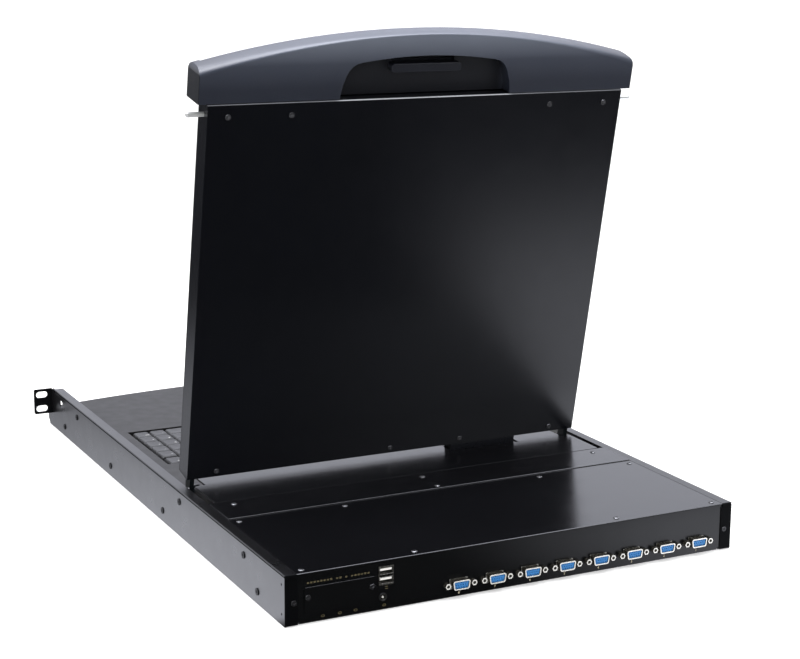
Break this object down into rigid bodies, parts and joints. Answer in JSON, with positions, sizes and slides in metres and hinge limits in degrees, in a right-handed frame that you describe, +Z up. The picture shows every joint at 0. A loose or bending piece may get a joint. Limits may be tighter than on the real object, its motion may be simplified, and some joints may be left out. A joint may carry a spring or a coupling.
{
  "type": "rack console drawer with kvm switch",
  "caption": "One-unit rack drawer with a fold-up flat display, keyboard and pointer pad, and a rear row of video ports for switching computers.",
  "frame": {"origin": "on the rear (mounting) face of the rack ears, centred between the two ears, at the middle screw hole of the rack unit", "axes": "+X the user's right, +Y from the ears back to the rear connector panel, +Z up"},
  "size_m": [0.4826, 0.7053, 0.4629],
  "materials": {
    "black_powder": "semi-gloss black powder coat, fine texture",
    "display_back": "semi-gloss black powder coat, smoother",
    "handle_plastic": "satin charcoal blue moulding",
    "recess_plastic": "matte charcoal",
    "palm_plastic": "fine grained black moulding",
    "key_plastic": "fine grained black key caps",
    "bezel_plastic": "fine grained black moulding",
    "zinc_steel": "bright zinc plated",
    "dark_screw": "black oxide",
    "nickel_shell": "nickel plated",
    "blue_plastic": "blue moulded insert",
    "black_plastic": "moulded black",
    "white_plastic": "moulded white",
    "circuit_green": "solder mask",
    "chip_black": "epoxy",
    "display_glass": "anti-glare film, dark when off",
    "module_steel": "pressed steel",
    "raw_steel": "bare steel"
  },
  "bodies": {
    "chassis": {"side_rail_right": "black_powder", "side_rail_left": "black_powder", "base_pan": "black_powder", "bay_wall": "black_powder", "rail_stiffeners": "zinc_steel", "rear_panel": "black_powder", "rear_cover": "black_powder", "strip_cover": "black_powder", "slot_cover_plate": "black_powder", "cover_screws": "dark_screw", "side_screws": "dark_screw", "rear_screws": "dark_screw", "board_standoffs": "zinc_steel", "switch_board": "circuit_green", "board_chips": "chip_black", "vga_shells": "nickel_shell", "vga_inserts": "blue_plastic", "vga_standoffs": "nickel_shell", "usb_shell": "nickel_shell", "usb_tongues": "white_plastic", "dc_jack": "black_plastic", "slide_outer_members": "zinc_steel"},
    "slide_middle": {"slide_middle_members": "zinc_steel", "slide_balls": "raw_steel"},
    "drawer": {"drawer_tray": "black_powder", "hinge_deck": "black_powder", "hinge_brackets": "black_powder", "hinge_screws": "zinc_steel", "console_board": "circuit_green", "palm_rest": "palm_plastic", "touchpad": "palm_plastic", "keyboard_plate": "zinc_steel", "keyboard_circuit": "circuit_green", "slide_inner_members": "zinc_steel"},
    "display": {"lcd_rear_cover": "display_back", "lcd_screws": "dark_screw", "lcd_module": "module_steel", "lcd_glass": "display_glass", "lcd_board": "circuit_green", "handle_shell": "handle_plastic", "lcd_bezel": "bezel_plastic", "hinge_arms": "black_powder", "hinge_pins": "zinc_steel", "cable_cover": "display_back", "pin_guides": "raw_steel", "pin_springs": "raw_steel"},
    "spacebar": {"spacebar": "key_plastic"},
    "typing_keys": {"typing_keys": "key_plastic"},
    "arrow_keys": {"arrow_keys": "key_plastic"},
    "function_keys": {"function_keys": "key_plastic"},
    "numpad_keys": {"numpad_keys": "key_plastic"},
    "touchpad_button_left": {"touchpad_button_left": "palm_plastic"},
    "touchpad_button_right": {"touchpad_button_right": "palm_plastic"},
    "release_lever": {"release_lever": "recess_plastic"},
    "lock_pin_right": {"lock_pin_right": "zinc_steel"},
    "lock_pin_left": {"lock_pin_left": "zinc_steel"},
    "setting_button_power": {"setting_button_power": "bezel_plastic"},
    "setting_button_menu": {"setting_button_menu": "bezel_plastic"},
    "setting_button_up": {"setting_button_up": "bezel_plastic"},
    "setting_button_down": {"setting_button_down": "bezel_plastic"}
  },
  "joints": [
    {"name": "drawer_slide", "type": "slide", "parent": "chassis", "child": "drawer", "axis": [0, -1, 0], "range_m": [0, 0.405]},
    {"name": "slide_middle_travel", "type": "slide", "parent": "chassis", "child": "slide_middle", "axis": [0, -1, 0], "range_m": [0, 0.2025]},
    {"name": "display_hinge", "type": "hinge", "parent": "drawer", "child": "display", "pos_m": [0, 0.39485, 0.0135], "axis": [1, 0, 0], "range_deg": [-18, 101.27]},
    {"name": "release_pull", "type": "slide", "parent": "display", "child": "release_lever", "axis": [0, 0.1954, 0.9807], "range_m": [0, 0.0065], "stiffness_N_per_m": 400, "springref_m": -0.004},
    {"name": "lock_pin_right_travel", "type": "slide", "parent": "display", "child": "lock_pin_right", "axis": [-1, 0, 0], "range_m": [0, 0.0065]},
    {"name": "lock_pin_left_travel", "type": "slide", "parent": "display", "child": "lock_pin_left", "axis": [1, 0, 0], "range_m": [0, 0.0065]},
    {"name": "spacebar_press", "type": "slide", "parent": "drawer", "child": "spacebar", "axis": [0, 0, -1], "range_m": [0, 0.0025], "stiffness_N_per_m": 600, "springref_m": -0.001},
    {"name": "typing_keys_press", "type": "slide", "parent": "drawer", "child": "typing_keys", "axis": [0, 0, -1], "range_m": [0, 0.0025], "stiffness_N_per_m": 4000, "springref_m": -0.001},
    {"name": "arrow_keys_press", "type": "slide", "parent": "drawer", "child": "arrow_keys", "axis": [0, 0, -1], "range_m": [0, 0.0025], "stiffness_N_per_m": 800, "springref_m": -0.001},
    {"name": "function_keys_press", "type": "slide", "parent": "drawer", "child": "function_keys", "axis": [0, 0, -1], "range_m": [0, 0.0025], "stiffness_N_per_m": 1500, "springref_m": -0.001},
    {"name": "numpad_keys_press", "type": "slide", "parent": "drawer", "child": "numpad_keys", "axis": [0, 0, -1], "range_m": [0, 0.0025], "stiffness_N_per_m": 2500, "springref_m": -0.001},
    {"name": "touchpad_button_left_press", "type": "slide", "parent": "drawer", "child": "touchpad_button_left", "axis": [0, 0, -1], "range_m": [0, 0.001], "stiffness_N_per_m": 1200, "springref_m": -0.0006},
    {"name": "touchpad_button_right_press", "type": "slide", "parent": "drawer", "child": "touchpad_button_right", "axis": [0, 0, -1], "range_m": [0, 0.001], "stiffness_N_per_m": 1200, "springref_m": -0.0006},
    {"name": "setting_button_power_press", "type": "slide", "parent": "display", "child": "setting_button_power", "axis": [0, 0.9807, -0.1954], "range_m": [0, 0.0008], "stiffness_N_per_m": 800, "springref_m": -0.0005},
    {"name": "setting_button_menu_press", "type": "slide", "parent": "display", "child": "setting_button_menu", "axis": [0, 0.9807, -0.1954], "range_m": [0, 0.0008], "stiffness_N_per_m": 800, "springref_m": -0.0005},
    {"name": "setting_button_up_press", "type": "slide", "parent": "display", "child": "setting_button_up", "axis": [0, 0.9807, -0.1954], "range_m": [0, 0.0008], "stiffness_N_per_m": 800, "springref_m": -0.0005},
    {"name": "setting_button_down_press", "type": "slide", "parent": "display", "child": "setting_button_down", "axis": [0, 0.9807, -0.1954], "range_m": [0, 0.0008], "stiffness_N_per_m": 800, "springref_m": -0.0005}
  ],
  "couplings": [
    {"joint": "slide_middle_travel", "follows": "drawer_slide", "ratio": 0.5},
    {"joint": "lock_pin_right_travel", "follows": "release_pull", "ratio": 1},
    {"joint": "lock_pin_left_travel", "follows": "release_pull", "ratio": 1}
  ]
}
